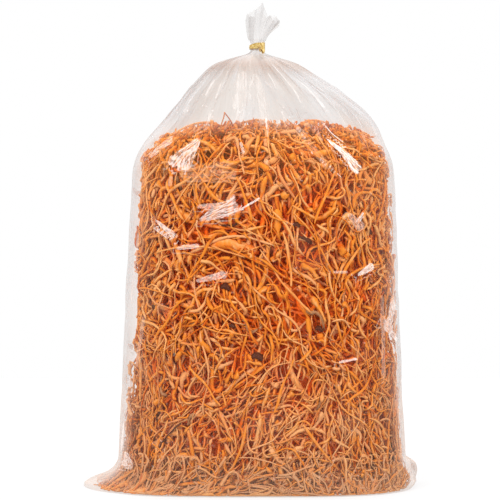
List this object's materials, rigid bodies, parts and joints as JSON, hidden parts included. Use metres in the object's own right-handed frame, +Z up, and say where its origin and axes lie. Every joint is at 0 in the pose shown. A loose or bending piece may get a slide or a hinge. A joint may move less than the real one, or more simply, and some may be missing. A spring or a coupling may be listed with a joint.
{
  "type": "bagged dried cordyceps",
  "caption": "Clear film bag packed with thin orange dried cordyceps clubs, gathered at the neck and closed with a gold twist tie, standing on its folded base.",
  "frame": {"origin": "on the floor under the bag's folded base, midway between the tips of the two base ears", "axes": "+Z up from the base to the tied neck, +X to the right of the bag's front, and the front faces -Y"},
  "size_m": [0.229, 0.1244, 0.331],
  "materials": {
    "clear_film": "clear, thin and crumpled polypropylene film with sharp glints on its creases",
    "dried_fungus": null,
    "gold_foil": null
  },
  "bodies": {
    "root": {"film_bag": "clear_film", "twist_tie": "gold_foil", "cordyceps_heap": "dried_fungus", "cordyceps_01": "dried_fungus", "cordyceps_02": "dried_fungus", "cordyceps_03": "dried_fungus", "cordyceps_04": "dried_fungus", "cordyceps_05": "dried_fungus", "cordyceps_06": "dried_fungus", "cordyceps_07": "dried_fungus", "cordyceps_08": "dried_fungus", "cordyceps_09": "dried_fungus", "cordyceps_10": "dried_fungus", "cordyceps_11": "dried_fungus", "cordyceps_12": "dried_fungus", "cordyceps_13": "dried_fungus", "cordyceps_14": "dried_fungus", "cordyceps_15": "dried_fungus", "cordyceps_16": "dried_fungus", "cordyceps_17": "dried_fungus", "cordyceps_18": "dried_fungus", "cordyceps_19": "dried_fungus", "cordyceps_20": "dried_fungus", "cordyceps_21": "dried_fungus", "cordyceps_22": "dried_fungus", "cordyceps_23": "dried_fungus", "cordyceps_24": "dried_fungus", "cordyceps_25": "dried_fungus", "cordyceps_26": "dried_fungus", "cordyceps_27": "dried_fungus", "cordyceps_28": "dried_fungus", "cordyceps_29": "dried_fungus", "cordyceps_30": "dried_fungus", "cordyceps_31": "dried_fungus", "cordyceps_32": "dried_fungus", "cordyceps_33": "dried_fungus", "cordyceps_34": "dried_fungus", "cordyceps_35": "dried_fungus", "cordyceps_36": "dried_fungus", "cordyceps_37": "dried_fungus", "cordyceps_38": "dried_fungus", "cordyceps_39": "dried_fungus", "cordyceps_40": "dried_fungus", "cordyceps_41": "dried_fungus", "cordyceps_42": "dried_fungus", "cordyceps_43": "dried_fungus", "cordyceps_44": "dried_fungus", "cordyceps_45": "dried_fungus", "cordyceps_46": "dried_fungus", "cordyceps_47": "dried_fungus", "cordyceps_48": "dried_fungus", "cordyceps_49": "dried_fungus", "cordyceps_50": "dried_fungus", "cordyceps_51": "dried_fungus"}
  },
  "joints": []
}
